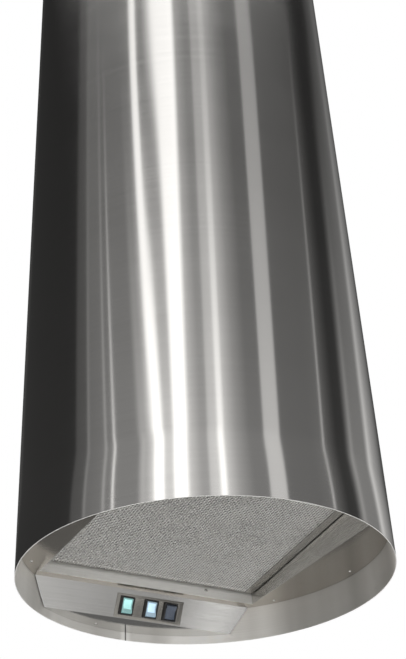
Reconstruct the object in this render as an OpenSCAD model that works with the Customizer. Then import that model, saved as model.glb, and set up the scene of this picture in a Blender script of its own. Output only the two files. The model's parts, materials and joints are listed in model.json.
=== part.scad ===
// Island range hood: a hanging round steel tube with a recessed mesh filter,
// a sloped switch panel inside the lower rim and a duct blower above the filter.
// Origin: centre of the lower rim. +Z up, +Y towards the switch panel, -Y towards the user.

/* [Tube] */
// Outer diameter of the tube
tube_d = 600; // [590:1:610]
// Height of the tube from rim to ceiling
tube_h = 1350; // [1100:10:1500]
// Sheet thickness of the tube
tube_t = 1.5; // [1:0.1:2]

/* [Soffit and recess] */
// Height of the soffit plate above the rim
soffit_z = 59.1; // [55:0.1:65]
// Width of the filter recess, inside
recess_w = 409; // [405:1:411]
// Depth of the filter recess, inside
recess_d = 391; // [389:1:393]
// Height of the surround walls' top edge
surround_top = 140; // [136:1:150]

/* [Filter] */
// Tilt of the filter, rising towards the user
filter_tilt = 5.7; // [4:0.1:6]
// Width of the filter cassette
filter_w = 405; // [401:1:406]
// Length of the filter cassette along its slope
filter_l = 385; // [380:1:385]
// Thickness of the filter cassette
filter_t = 10; // [9:0.5:10]
// Visible width of the frame members
filter_member = 15; // [12:1:17]

/* [Control panel] */
// Distance of the fascia's top edge behind the tube's axis
fascia_top_y = 214.5; // [212:0.5:216]
// Distance of the fascia's bottom edge behind the tube's axis
fascia_low_y = 237.5; // [234:0.5:240]
// Height of the ledge above the rim
ledge_z = 14.4; // [12:0.2:18]
// Height of a switch bezel along the slope
bezel_h = 32; // [31:0.5:33]
// Width of a switch bezel
bezel_w = 25.5; // [25:0.5:27]

/* [Blower and duct] */
// Height of the blower chamber's top plate
chamber_top = 430; // [430:5:480]
// Outside diameter of the exhaust duct
duct_d = 200.4; // [200:0.1:201]
// Impeller diameter
impeller_d = 150; // [140:2:152]
// Rotation of the motor's axis above the rim
blower_z = 270; // [268:1:275]

/* [Lamps] */
// Distance of each lamp from the centre plane
lamp_x = 90; // [85:1:100]
// Distance of the lamps in front of the tube's axis
lamp_y = 240; // [236:1:242]

/* [Hidden] */
$fn = 64;
eps = 0.01;
elbow = 1.08;

tube_r = tube_d / 2;
tube_ri = tube_r - tube_t;
seam_w = 0.9;
seam_depth = 0.5;

sheet = 1.2;
plate_r = tube_ri - 0.5;
wall_t = 1;
rx = recess_w / 2;
ry = recess_d / 2;

// Fascia slope: position along it is s, measured down from its top edge
fascia_dy = fascia_low_y - fascia_top_y;
fascia_dz = soffit_z - ledge_z;
fascia_len = sqrt(pow(fascia_dy, 2) + pow(fascia_dz, 2));
fascia_angle = atan2(fascia_dy, fascia_dz);
fascia_edge_gap = 1;
switch_s = 28;
overlay_t = 0.8;
overlay_x = [-52, 76.5];
overlay_s = [8, 49];
switch_x = [-31.5, 14.5, 52];

// Switch, in its own frame: x across, s down the slope, n out of the panel
housing_w = 22;
housing_h = 30;
housing_depth = 24;
window_w = 19.1;
window_h = 27;
cavity_depth = 13;
bezel_t = 4.2;
bezel_chamfer = 0.9;
bezel_corner = 2;
rocker_w = 18.5;
rocker_r = 13.2;
rocker_pivot_n = -1.2;
rocker_pin_r = 1.2;
rocker_clear = 0.05;
rocker_tilt = 8;
rocker_valley = 2.8;
rocker_crest = 6;
rocker_foot = -7;

// Filter frame origin: lower back edge of the cassette
filter_y = ry - 3.5;
filter_z = soffit_z + 17;
filter_web = 4;
filter_lip = 0.9;
mesh_t = 1;
pivot_back = 5;
filter_back_lip = 2.5;
mesh_back = 1.2;
pivot_r = 2.5;
pivot_clear = 0.05;
pull_w = 60;
pull_drop = 25;
pull_wire = 1.5;
eye_drop = 4;
eye_gap = 0.3;

chamber_low = 120;
chamber_t = 1.2;
cx = rx + wall_t + chamber_t;
cy = ry + wall_t + chamber_t;

// Volute of four quarter arcs whose centres step round a small square
volute_step = 12;
volute_r = 90;
volute_t = 1.2;
volute_w = 124;
side_hole_r = 63;
mouth_r = 7;
impeller_r = impeller_d / 2;
impeller_w = 104;
impeller_band = 13;
blade_count = 36;
shaft_r = 5;
shaft_clear = 0.05;
motor_x = 72;
motor_len = 78;
motor_r = 48;

spigot_y = 57;
spigot_r = 98.5;
spigot_t = 1;
spigot_top = chamber_top + 110;
damper_z = chamber_top + 50;
damper_rod_r = 2;
sleeve_r = 3.2;
sleeve_bore = 2.05;
flap_r = 96.5;
flap_t = 0.8;
stop_lip = 6;
lip_t = 2.4;
duct_r = duct_d / 2;
duct_ri = spigot_r + spigot_t + 0.1;
duct_low = chamber_top + 70;
crimp_len = 50;
crimp_r = 99.4;
crimp_ri = 98.6;

ring_t = 4;
ring_ri = 195;
ring_flange_h = 30;
ring_flange_t = 2.2;
ceiling_pcd = 520;
ceiling_bolt_r = 5;
ceiling_bolts = 8;
post_xy = 160;
post_leg = 30;
post_t = 3;
foot_w = 44;

tab_r_in = tube_ri - 25;
tab_w = 30;
tab_t = 1.5;
tab_h = 24;
tab_angles = [-125.4, -90, -54.6, 54.6, 90, 125.4, 180];
ledge_tab_angle = -13.6;
rivet_r = 285;
rivet_hole = 1.65;
rivet_shank = 1.6;
surround_rivet_x = 110;
surround_rivet_up = 11.6;

lamp_hole_r = 28;
lamp_can_r = 27.5;
lamp_bezel_r = 33;
lamp_lens_r = 24;

// Terminal box on the chamber's back wall
box_x = [-50, 100];
box_y = [cy, 270];
box_z = [200, 290];
box_t = 2;
gland_at = [-20, 232];
gland_r = 4.2;
mains_hole_r = 8;
switch_loom_at = [20, 263];
lamp_drop = [-30, 240];
loom_r = 3.2;
motor_lead_x = 92;
grommet_r = 9;

// Stops, magnets, pull ring place and motor feet
stop_x = 120;
stop_z = filter_z + filter_l * sin(filter_tilt) + filter_t * cos(filter_tilt);
magnet_t = 5;
pull_at = [-filter_l + filter_member / 2, -eye_drop];
leg_angles = [30, 150, 270];
leg_r = 84;
grommet_h = 6;

// ---------- shared shapes ----------

module ring(r_out, r_in, h) {
    difference() {
        cylinder(r = r_out, h = h);
        translate([0, 0, -1]) cylinder(r = r_in, h = h + 2);
    }
}

// A box given by its low and high corners
module span(x, y, z) {
    translate([x[0], y[0], z[0]]) cube([x[1] - x[0], y[1] - y[0], z[1] - z[0]]);
}

module along_x() { rotate([0, 90, 0]) children(); }
module along_y() { rotate([-90, 0, 0]) children(); }

// Turns +Y to the direction at an angle measured from +Y towards +X
module facing(angle) { rotate([0, 0, -angle]) children(); }

// Round wire or cable along a list of points
module wire(points, r) {
    for (i = [0 : len(points) - 2]) {
        d = points[i + 1] - points[i];
        length = norm(d);
        translate(points[i])
            rotate([0, acos(d[2] / length), atan2(d[1], d[0])])
                cylinder(r = r, h = length, $fn = 24);
    }
    for (i = [1 : 1 : len(points) - 2]) translate(points[i]) sphere(r = elbow * r, $fn = 24);
}

// Panel frame: x across, y down the slope, z out of the fascia's face
module on_fascia() {
    translate([0, fascia_top_y, soffit_z]) rotate([fascia_angle - 90, 0, 0])
        mirror([0, 0, 1]) children();
}

module at_switch(i) { on_fascia() translate([switch_x[i], switch_s, overlay_t]) children(); }

module in_filter() { translate([0, filter_y, filter_z]) rotate([-filter_tilt, 0, 0]) children(); }

// ---------- tube and its fixing ----------

module outer_tube() {
    color([0.62, 0.61, 0.59]) difference() {
        ring(tube_r, tube_ri, tube_h);
        translate([-seam_w / 2, tube_ri - 1, -1]) cube([seam_w, 1 + seam_depth, tube_h + 2]);
        for (i = [0 : 7]) facing(45 * i) translate([0, tube_ri - 3, tube_h - 15])
            along_y() cylinder(r = 2.2, h = 8, $fn = 24);
    }
}

module ceiling_ring() {
    color([0.55, 0.57, 0.6]) difference() {
        union() {
            translate([0, 0, tube_h - ring_t]) ring(tube_ri - 0.1, ring_ri, ring_t);
            translate([0, 0, tube_h - ring_flange_h])
                ring(tube_ri - 0.1, tube_ri - 0.1 - ring_flange_t, ring_flange_h);
        }
        for (i = [0 : ceiling_bolts - 1]) rotate([0, 0, 360 / ceiling_bolts * (i + 0.5)])
            translate([ceiling_pcd / 2, 0, tube_h - ring_t - 1])
                cylinder(r = ceiling_bolt_r, h = ring_t + 2);
        for (i = [0 : 7]) facing(45 * i) translate([0, tube_ri - 5, tube_h - 15])
            along_y() cylinder(r = 2.05, h = 8, $fn = 24);
        at_posts() translate([0, 0, tube_h - ring_t - 1]) cylinder(r = 3.3, h = ring_t + 2, $fn = 24);
        translate([gland_at[0], gland_at[1], tube_h - ring_t - 1]) cylinder(r = mains_hole_r, h = ring_t + 2);
    }
}

module tube_screws() {
    color([0.75, 0.75, 0.75]) for (i = [0 : 7]) facing(45 * i) translate([0, 0, tube_h - 15]) {
        translate([0, tube_ri - 6, 0]) along_y() cylinder(r = 2, h = 8, $fn = 24);
        difference() {
            translate([0, tube_r, 0]) along_y() cylinder(r = 4.5, h = 1.9, $fn = 32);
            translate([0, tube_r + 0.9, 0]) along_y() cylinder(r = 1.5, h = 2, $fn = 6);
        }
    }
}

module at_posts() {
    for (sx = [-1, 1]) for (sy = [-1, 1]) translate([sx * post_xy, sy * post_xy, 0])
        in_quadrant(sx, sy) children();
}

// Mirrors a child into the quadrant with the given signs
module in_quadrant(sx, sy) {
    mirror([sx < 0 ? 1 : 0, 0, 0]) mirror([0, sy < 0 ? 1 : 0, 0]) children();
}

module hanger_posts() {
    low = chamber_top + chamber_t;
    high = tube_h - ring_t;
    color([0.6, 0.62, 0.64]) at_posts() difference() {
        union() {
            span([-foot_w / 2, foot_w / 2], [-foot_w / 2, foot_w / 2], [low, low + post_t]);
            span([-foot_w / 2, foot_w / 2], [-foot_w / 2, foot_w / 2], [high - post_t, high]);
            span([10, 10 + post_t], [10 + post_t - post_leg, 10 + post_t], [low, high]);
            span([10 + post_t - post_leg, 10 + post_t], [10, 10 + post_t], [low, high]);
        }
        translate([0, 0, low - 1]) cylinder(r = 3.3, h = post_t + 2, $fn = 24);
        translate([0, 0, high - post_t - 1]) cylinder(r = 3.3, h = post_t + 2, $fn = 24);
    }
}

// Hexagon bolt standing on z = 0 with its shank downwards
module hex_bolt(r, grip, head) {
    cylinder(r = 2 * r, h = head, $fn = 6);
    translate([0, 0, -grip]) cylinder(r = r, h = grip, $fn = 24);
}

module post_bolts() {
    low = chamber_top + chamber_t + post_t;
    high = tube_h - ring_t - post_t;
    color([0.8, 0.8, 0.78]) at_posts() {
        translate([0, 0, low]) hex_bolt(3, 14, 4);
        translate([0, 0, low - post_t - chamber_t - 4]) ring(5, 3, 4);
        translate([0, 0, high]) mirror([0, 0, 1]) hex_bolt(3, 6.9, 4);
    }
}

// ---------- soffit, tabs and rivets ----------

module soffit_plate() {
    px = rx + wall_t;
    py = ry + wall_t;
    color([0.5, 0.48, 0.46]) difference() {
        translate([0, 0, soffit_z]) cylinder(r = plate_r, h = sheet);
        span([-px, px], [-py, py], [soffit_z - 1, soffit_z + 5]);
        for (a = tab_angles) facing(a) translate([0, rivet_r, soffit_z - 1])
            cylinder(r = rivet_hole, h = 4, $fn = 24);
        at_lamps() translate([0, 0, soffit_z - 1]) cylinder(r = lamp_hole_r, h = 4);
        translate([switch_loom_at[0], switch_loom_at[1], soffit_z - 1])
            cylinder(r = grommet_r - 2, h = 4, $fn = 32);
        translate([plate_r - 3, 5, soffit_z - 1]) cube([6, 4, 4]);
    }
}

module tab_at(angle, z) {
    foot = sqrt(pow(tube_ri, 2) - pow(tab_w / 2, 2)) - eps;
    facing(angle) translate([0, 0, z]) difference() {
        union() {
            span([-tab_w / 2, tab_w / 2], [tab_r_in, foot], [0, tab_t]);
            span([-tab_w / 2, tab_w / 2], [foot - tab_t, foot], [0, tab_h]);
        }
        translate([0, rivet_r, -1]) cylinder(r = rivet_hole, h = 5, $fn = 24);
    }
}

module wall_tabs() {
    color([0.58, 0.58, 0.58]) {
        for (a = tab_angles) tab_at(a, soffit_z + sheet);
        tab_at(ledge_tab_angle, ledge_z + sheet);
    }
}

// Dome-headed rivet through a plate whose lower face is at z = 0
module rivet(grip) {
    dome_r = 4;
    head_r = 3.2;
    head_h = 1.5;
    sink = sqrt(pow(dome_r, 2) - pow(head_r, 2));
    intersection() {
        translate([0, 0, sink]) sphere(r = dome_r, $fn = 48);
        translate([0, 0, -head_h - 1]) cylinder(r = head_r + 1, h = head_h + 1, $fn = 48);
    }
    translate([0, 0, -0.5]) cylinder(r = rivet_shank, h = grip + 1.5, $fn = 24);
    translate([0, 0, grip]) cylinder(r = 2.6, h = 1.4, $fn = 24);
}

module rivets() {
    grip = sheet + tab_t;
    color([0.72, 0.72, 0.72]) {
        for (a = tab_angles) facing(a) translate([0, rivet_r, soffit_z]) rivet(grip);
        facing(ledge_tab_angle) translate([0, rivet_r, ledge_z]) rivet(grip);
        at_surround_rivet() rivet(wall_t);
    }
}

// ---------- filter recess ----------

// One surround wall as a mitred strip: half length a, inner face at distance b
module mitred(a, b, z0, z1) {
    translate([0, 0, z0]) linear_extrude(z1 - z0)
        polygon([[-a, b], [a, b], [a + wall_t, b + wall_t], [-a - wall_t, b + wall_t]]);
}

module surround_back() {
    color([0.7, 0.69, 0.67]) difference() {
        mitred(rx, ry, soffit_z, surround_top);
        at_surround_rivet() translate([0, 0, -1]) cylinder(r = rivet_hole, h = 4, $fn = 24);
    }
}

module at_surround_rivet() {
    translate([surround_rivet_x, ry, soffit_z + surround_rivet_up]) along_y() children();
}

module surround_front() {
    color([0.7, 0.69, 0.67]) mirror([0, 1, 0]) mitred(rx, ry, soffit_z, surround_top);
}

module surround_side() {
    pin = pivot_centre();
    difference() {
        rotate([0, 0, -90]) mitred(ry, rx, soffit_z, surround_top);
        translate([rx - 1, pin[0], pin[1]]) along_x() cylinder(r = pivot_r, h = wall_t + 2, $fn = 32);
    }
}

module surround_left() { color([0.66, 0.65, 0.63]) mirror([1, 0, 0]) surround_side(); }
module surround_right() { color([0.66, 0.65, 0.63]) surround_side(); }

module chamber_box() {
    ix = cx - chamber_t;
    iy = cy - chamber_t;
    color([0.66, 0.68, 0.7]) difference() {
        span([-cx, cx], [-cy, cy], [chamber_low, chamber_top + chamber_t]);
        span([-ix, ix], [-iy, iy], [chamber_low - 1, chamber_top]);
        outlet_hole(0);
        translate([motor_lead_x, iy - 1, blower_z]) along_y() cylinder(r = grommet_r - 2, h = 4, $fn = 32);
        at_posts() translate([0, 0, chamber_top - 1]) cylinder(r = 3.3, h = 4, $fn = 24);
    }
}

// Rectangular hole above the volute's throat
module outlet_hole(grow) {
    s = volute_step / 2;
    throat_y = volute_r + 3 * volute_step - s;
    span([-volute_w / 2 - grow, volute_w / 2 + grow], [-s - grow, throat_y + grow],
        [chamber_top - 2, chamber_top + 5]);
}

// ---------- filter cassette ----------

// Filter pivot in the hood's frame, as [y, z]
function pivot_centre() = [
    filter_y - pivot_back * cos(filter_tilt) + filter_t / 2 * sin(filter_tilt),
    filter_z + pivot_back * sin(filter_tilt) + filter_t / 2 * cos(filter_tilt)];

module filter_pivots() {
    pin = pivot_centre();
    inner = filter_w / 2 - filter_web + 0.5;
    color([0.75, 0.75, 0.74]) for (s = [0, 1]) mirror([s, 0, 0]) {
        translate([inner, pin[0], pin[1]]) along_x()
            cylinder(r = pivot_r, h = rx + wall_t + 0.5 - inner, $fn = 32);
        translate([rx + wall_t, pin[0], pin[1]]) along_x() cylinder(r = 4, h = 2, $fn = 32);
    }
}

module filter_stops() {
    color([0.6, 0.6, 0.6]) for (x = [-stop_x, stop_x]) translate([x, -ry, stop_z + 0.6]) {
        span([-20, 20], [0, 1.5], [-2, 14]);
        span([-20, 20], [0, 18], [magnet_t, magnet_t + 1.5]);
    }
}

module catch_magnets() {
    color([0.25, 0.25, 0.26]) for (x = [-stop_x, stop_x]) translate([x, -ry, stop_z + 0.6])
        span([-16, 16], [4, 16], [0, magnet_t]);
}

module filter_frame() {
    w = filter_w / 2;
    win = filter_member;
    color([0.72, 0.72, 0.71]) in_filter() difference() {
        span([-w, w], [-filter_l, 0], [0, filter_t]);
        span([-w + win, w - win], [-filter_l + win, -win], [-1, filter_t + 1]);
        span([-w + win, w - win], [-win - 1, -filter_back_lip], [-1, filter_lip + 0.1]);
        span([-w + filter_web, w - filter_web], [-win - 1, -mesh_back], [filter_lip, filter_lip + mesh_t]);
        span([-w + filter_web, w - filter_web], [-filter_l + filter_web, -filter_web - pivot_back],
            [filter_lip, filter_t - filter_lip]);
        for (s = [-1, 1]) translate([s * w, -pivot_back, filter_t / 2]) along_x()
            translate([0, 0, -filter_web]) cylinder(r = pivot_r + pivot_clear, h = 2 * filter_web, $fn = 32);
    }
}

// One layer of the packed mesh between two heights in the cassette
module filter_layer(z0, z1, back = filter_web + pivot_back) {
    w = filter_w / 2 - filter_web;
    in_filter() span([-w, w], [-filter_l + filter_web, -back], [z0, z1]);
}

module filter_mesh_lower() {
    color([0.78, 0.78, 0.77]) filter_layer(filter_lip, filter_lip + mesh_t, mesh_back);
}

module filter_mesh_upper() {
    top = filter_t - filter_lip;
    color([0.78, 0.78, 0.77]) filter_layer(top - mesh_t, top);
}

module filter_core() {
    color([0.66, 0.66, 0.65]) filter_layer(filter_lip + mesh_t, filter_t - filter_lip - mesh_t);
}

module pull_eyes() {
    color([0.7, 0.7, 0.7]) in_filter() for (s = [-1, 1])
        translate([s * pull_w / 2, pull_at[0], 0]) difference() {
            span([-4, 4], [-3.5, 3.5], [-eye_drop - 3.5, 0]);
            translate([-5, 0, -eye_drop]) along_x() cylinder(r = pull_wire + pivot_clear, h = 10, $fn = 24);
        }
}

// Pull ring: hangs plumb from the two eyes
module pull_ring() {
    y = filter_y + pull_at[0] * cos(filter_tilt) + pull_at[1] * sin(filter_tilt);
    z = filter_z - pull_at[0] * sin(filter_tilt) + pull_at[1] * cos(filter_tilt);
    leg = pull_w / 2 - 4 - pull_wire - eye_gap;
    color([0.8, 0.8, 0.8]) translate([0, y, z]) {
        wire([[pull_w / 2 + 3, 0, 0], [leg, 0, 0], [leg, 0, -pull_drop],
            [-leg, 0, -pull_drop], [-leg, 0, 0], [-pull_w / 2 - 3, 0, 0]], pull_wire);
    }
}

// ---------- control panel and switches ----------

module control_panel() {
    color([0.72, 0.71, 0.7]) difference() {
        union() {
            intersection() {
                on_fascia() span([-tube_r, tube_r], [0, fascia_len + 1], [-sheet, 0]);
                translate([0, 0, ledge_z]) cylinder(r = plate_r - fascia_edge_gap, h = fascia_dz);
            }
            intersection() {
                translate([0, 0, ledge_z]) cylinder(r = plate_r, h = sheet);
                span([-tube_r, tube_r], [fascia_low_y, tube_r], [0, soffit_z]);
            }
        }
        for (i = [0 : 2]) at_switch(i)
            span([-housing_w / 2, housing_w / 2], [-housing_h / 2, housing_h / 2], [-5, 5]);
        facing(ledge_tab_angle) translate([0, rivet_r, 0]) cylinder(r = rivet_hole, h = soffit_z, $fn = 24);
        translate([13, plate_r - 3, ledge_z - 1]) cube([4, 6, 4]);
    }
}

module switch_plate() {
    color([0.62, 0.62, 0.6]) difference() {
        on_fascia() span(overlay_x, overlay_s, [0, overlay_t]);
        for (i = [0 : 2]) at_switch(i)
            span([-housing_w / 2, housing_w / 2], [-housing_h / 2, housing_h / 2], [-5, 5]);
    }
}

// Side view of a bezel, chamfered at the top, drawn across a width
module bezel_profile(w) {
    polygon([[-w / 2, 0], [w / 2, 0], [w / 2, bezel_t - bezel_chamfer], [w / 2 - bezel_chamfer, bezel_t],
        [bezel_chamfer - w / 2, bezel_t], [-w / 2, bezel_t - bezel_chamfer]]);
}

module bezel_block() {
    intersection() {
        rotate([90, 0, 0]) translate([0, 0, -bezel_h / 2]) linear_extrude(bezel_h) bezel_profile(bezel_w);
        rotate([90, 0, 90]) translate([0, 0, -bezel_w / 2]) linear_extrude(bezel_w) bezel_profile(bezel_h);
        linear_extrude(bezel_t) {
            square([bezel_w - 2 * bezel_corner, bezel_h], center = true);
            square([bezel_w, bezel_h - 2 * bezel_corner], center = true);
            for (x = [-1, 1]) for (y = [-1, 1])
                translate([x * (bezel_w / 2 - bezel_corner), y * (bezel_h / 2 - bezel_corner)])
                    circle(r = bezel_corner, $fn = 32);
        }
    }
}

module switch_housing(i) {
    color([0.05, 0.05, 0.055]) at_switch(i) difference() {
        union() {
            span([-housing_w / 2, housing_w / 2], [-housing_h / 2, housing_h / 2], [-housing_depth, eps]);
            bezel_block();
        }
        span([-window_w / 2, window_w / 2], [-window_h / 2, window_h / 2], [-cavity_depth, bezel_t + 1]);
        translate([0, 0, rocker_pivot_n]) along_x() translate([0, 0, -housing_w / 2 + 0.25])
            cylinder(r = rocker_pin_r + rocker_clear, h = housing_w - 0.5, $fn = 24);
    }
}

module switch_housing_light() { switch_housing(0); }
module switch_housing_fan() { switch_housing(1); }
module switch_housing_speed() { switch_housing(2); }

module switch_terminals() {
    color([0.8, 0.65, 0.35]) for (i = [0 : 2]) at_switch(i) for (s = [-8, 0, 8])
        span([-3.15, 3.15], [s - 0.4, s + 0.4], [-housing_depth - 8, -housing_depth]);
}

module switch_lamps() {
    color([0.9, 0.95, 1]) for (i = [0 : 2]) at_switch(i) translate([0, 0, -cavity_depth])
        cylinder(r = 2.5, h = 4, $fn = 24);
}

// Rocker about its pivot pins; tilt is its resting side
module rocker(tilt) {
    half = rocker_r + 1;
    translate([0, 0, rocker_pivot_n]) rotate([tilt, 0, 0]) {
        intersection() {
            along_x() translate([0, 0, -rocker_w / 2]) cylinder(r = rocker_r, h = rocker_w, $fn = 96);
            rotate([90, 0, 90]) translate([0, 0, -rocker_w / 2]) linear_extrude(rocker_w)
                polygon([[-half, rocker_foot], [half, rocker_foot], [half, rocker_crest + 1.2],
                    [0, rocker_valley + 1.2], [-half, rocker_crest + 1.2]]);
        }
        along_x() translate([0, 0, -rocker_w / 2 - 1.3])
            cylinder(r = rocker_pin_r, h = rocker_w + 2.6, $fn = 24);
    }
}

module rocker_light() { color([0.72, 0.95, 0.92]) at_switch(0) rocker(rocker_tilt); }
module rocker_fan() { color([0.8, 0.93, 1]) at_switch(1) rocker(rocker_tilt); }
module rocker_speed() { color([0.16, 0.18, 0.24]) at_switch(2) rocker(-rocker_tilt); }

// ---------- lamps ----------

module at_lamps() {
    for (s = [-1, 1]) translate([s * lamp_x, -lamp_y, 0]) children();
}

module lamp_bezels() {
    color([0.78, 0.78, 0.78]) at_lamps() translate([0, 0, soffit_z]) rotate_extrude()
        polygon([[lamp_lens_r, -2.6], [lamp_bezel_r - 3, -2.6], [lamp_bezel_r, -0.8], [lamp_bezel_r, 0],
            [lamp_can_r + 0.1, 0], [lamp_can_r + 0.1, 0.4], [lamp_lens_r + 1, 0.4],
            [lamp_lens_r + 1, -0.9], [lamp_lens_r, -0.9]]);
}

module lamp_lenses() {
    color([0.93, 0.95, 1, 0.5]) at_lamps() translate([0, 0, soffit_z - 0.9])
        cylinder(r = lamp_lens_r + 0.9, h = 1.2);
}

module lamp_cans() {
    color([0.7, 0.7, 0.7]) at_lamps() translate([0, 0, soffit_z + 0.4]) difference() {
        cylinder(r = lamp_can_r, h = 40);
        translate([0, 0, -1]) cylinder(r = lamp_can_r - 0.8, h = 40);
    }
}

module lamp_modules() {
    color([0.95, 0.95, 0.85]) at_lamps() translate([0, 0, soffit_z + 8]) {
        cylinder(r = 18, h = 3);
        translate([0, 0, 3]) cylinder(r = 9, h = 28.4);
    }
}

// ---------- blower ----------

// A quarter disc about a centre, in the quadrant with the given signs
module quarter(c, r, sy, sz) {
    translate(c) intersection() {
        circle(r = r, $fn = 96);
        translate([sy > 0 ? 0 : -2 * r, sz > 0 ? 0 : -2 * r]) square(2 * r);
    }
}

// Volute outline, x along the hood's Y and y along its Z, grown by a wall thickness
module volute_2d(grow, over = 0) {
    s = volute_step / 2;
    r = volute_r + grow;
    up = chamber_top - blower_z + over;
    quarter([-s, -s], r, -1, 1);
    quarter([s, -s], r + volute_step, -1, -1);
    quarter([s, s], r + 2 * volute_step, 1, -1);
    translate([-s, -s]) square(2 * s);
    translate([-s - grow, s]) square([volute_r + 3 * volute_step + 2 * grow, up - s]);
}

// Places a 2D outline across the hood, centred on the blower's axis
module blower_slab(x0, x1) {
    translate([x0, 0, blower_z]) rotate([90, 0, 90]) linear_extrude(x1 - x0) children();
}

module scroll_wrap() {
    w = volute_w / 2;
    color([0.7, 0.72, 0.74]) difference() {
        blower_slab(-w, w) volute_2d(volute_t);
        blower_slab(-w - 1, w + 1) volute_2d(0, 1);
    }
}

module scroll_side(x0) {
    color([0.68, 0.7, 0.72]) blower_slab(x0, x0 + volute_t) difference() {
        volute_2d(volute_t);
        circle(r = side_hole_r, $fn = 96);
    }
}

module scroll_side_left() { scroll_side(-volute_w / 2 - volute_t); }
module scroll_side_right() { scroll_side(volute_w / 2); }

// Rolled bellmouth inside each inlet hole
module inlet_rings() {
    color([0.72, 0.74, 0.76]) for (s = [0, 1]) mirror([s, 0, 0])
        translate([volute_w / 2 + volute_t, 0, blower_z]) along_x() rotate_extrude()
            translate([side_hole_r + mouth_r + volute_t, 0]) intersection() {
                difference() {
                    circle(r = mouth_r + volute_t, $fn = 48);
                    circle(r = mouth_r, $fn = 48);
                }
                translate([-2 * mouth_r, 0]) square(2 * mouth_r);
            }
}

module impeller() {
    w = impeller_w / 2;
    r = impeller_r;
    r0 = r - impeller_band;
    color([0.75, 0.76, 0.78]) difference() {
        union() {
            blower_slab(-w, -w + 3) difference() { circle(r = r); circle(r = r - 5); }
            blower_slab(w - 3, w) difference() { circle(r = r); circle(r = r - 5); }
            blower_slab(-1, 1) circle(r = r);
            blower_slab(-10, 10) circle(r = 14);
            blower_slab(-w, w) for (i = [0 : blade_count - 1]) rotate(360 / blade_count * i)
                polygon([[r0, 0], [r0 + 5, 1.2], [r - 1, 5], [r - 0.4, 4.1], [r0 + 5.4, 0.2], [r0, -1]]);
        }
        blower_slab(-w, w) circle(r = shaft_r, $fn = 48);
    }
}

module motor_shaft() {
    color([0.8, 0.8, 0.8]) blower_slab(-20, motor_x + motor_len - 10) circle(r = shaft_r, $fn = 48);
}

module motor_body() {
    x1 = motor_x + motor_len;
    color([0.3, 0.31, 0.33]) difference() {
        union() {
            blower_slab(motor_x + 6, x1 - 6) circle(r = motor_r);
            blower_slab(motor_x, motor_x + 6) circle(r = motor_r - 6);
            blower_slab(x1 - 6, x1) circle(r = motor_r - 6);
            blower_slab(motor_x - 4, motor_x) circle(r = 14);
        }
        blower_slab(motor_x - 5, x1 - 8) circle(r = shaft_r + shaft_clear, $fn = 48);
        for (a = [0 : 45 : 315]) translate([0, 0, blower_z]) rotate([a, 0, 0])
            span([motor_x - 1, motor_x + 3], [20, 38], [-3, 3]);
    }
}

module at_legs() {
    for (a = leg_angles) translate([0, 0, blower_z]) rotate([a, 0, 0]) children();
}

module motor_bracket() {
    foot = volute_w / 2 + volute_t + grommet_h;
    color([0.5, 0.52, 0.54]) {
        blower_slab(90, 102) difference() {
            circle(r = motor_r + 2.5);
            circle(r = motor_r);
        }
        at_legs() {
            span([90, 93], [motor_r + 1, leg_r + 1.5], [-6, 6]);
            span([foot, 93], [leg_r - 1.5, leg_r + 1.5], [-6, 6]);
        }
    }
}

module motor_grommets() {
    color([0.12, 0.12, 0.12]) at_legs() translate([volute_w / 2 + volute_t, leg_r, 0]) along_x()
        cylinder(r = 8, h = grommet_h, $fn = 32);
}

// ---------- outlet, damper and duct ----------

module spigot_cut() { translate([0, spigot_y, 0]) children(); }

module outlet_spigot() {
    low = chamber_top + chamber_t;
    color([0.74, 0.76, 0.78]) spigot_cut() difference() {
        union() {
            translate([0, 0, low]) ring(spigot_r + 14, spigot_r, 1);
            translate([0, 0, low]) ring(spigot_r + spigot_t, spigot_r, spigot_top - low);
            translate([0, 0, damper_z - flap_t / 2 - 0.1 - lip_t])
                ring(spigot_r + spigot_t / 2, spigot_r - stop_lip, lip_t);
        }
        translate([-spigot_r - 5, 0, damper_z]) along_x()
            cylinder(r = damper_rod_r, h = 2 * spigot_r + 10, $fn = 32);
    }
}

module damper_rod() {
    half = spigot_r + spigot_t;
    color([0.8, 0.8, 0.8]) translate([-half, spigot_y, damper_z]) along_x()
        cylinder(r = damper_rod_r, h = 2 * half, $fn = 32);
}

// Half-round flap on the -Y side of its rod, with sleeves at the given spans
module flap(sleeves) {
    difference() {
        union() {
            intersection() {
                translate([0, 0, -flap_t / 2]) cylinder(r = flap_r, h = flap_t, $fn = 96);
                translate([-flap_r, -flap_r, -1]) cube([2 * flap_r, flap_r - sleeve_r - 0.6, 2]);
            }
            for (s = sleeves) {
                span(s, [-sleeve_r - 1, -sleeve_bore - 0.4], [-flap_t / 2, flap_t / 2]);
                translate([s[0], 0, 0]) along_x() cylinder(r = sleeve_r, h = s[1] - s[0], $fn = 32);
            }
        }
        translate([-flap_r, 0, 0]) along_x() cylinder(r = sleeve_bore, h = 2 * flap_r, $fn = 32);
    }
}

module damper_flap_front() {
    color([0.7, 0.72, 0.74]) translate([0, spigot_y, damper_z]) flap([[-80, -50], [10, 39.5]]);
}

module damper_flap_back() {
    color([0.7, 0.72, 0.74]) translate([0, spigot_y, damper_z]) mirror([0, 1, 0])
        flap([[-40, -10], [50, 80]]);
}

module exhaust_duct() {
    crimp_z = tube_h - crimp_len;
    color([0.76, 0.78, 0.8]) spigot_cut() rotate_extrude($fn = 128)
        polygon([[duct_ri, duct_low], [duct_r, duct_low], [duct_r, crimp_z - 2], [crimp_r, crimp_z],
            [crimp_r, tube_h], [crimp_ri, tube_h], [crimp_ri, crimp_z], [duct_ri, crimp_z - 2]]);
}

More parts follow.
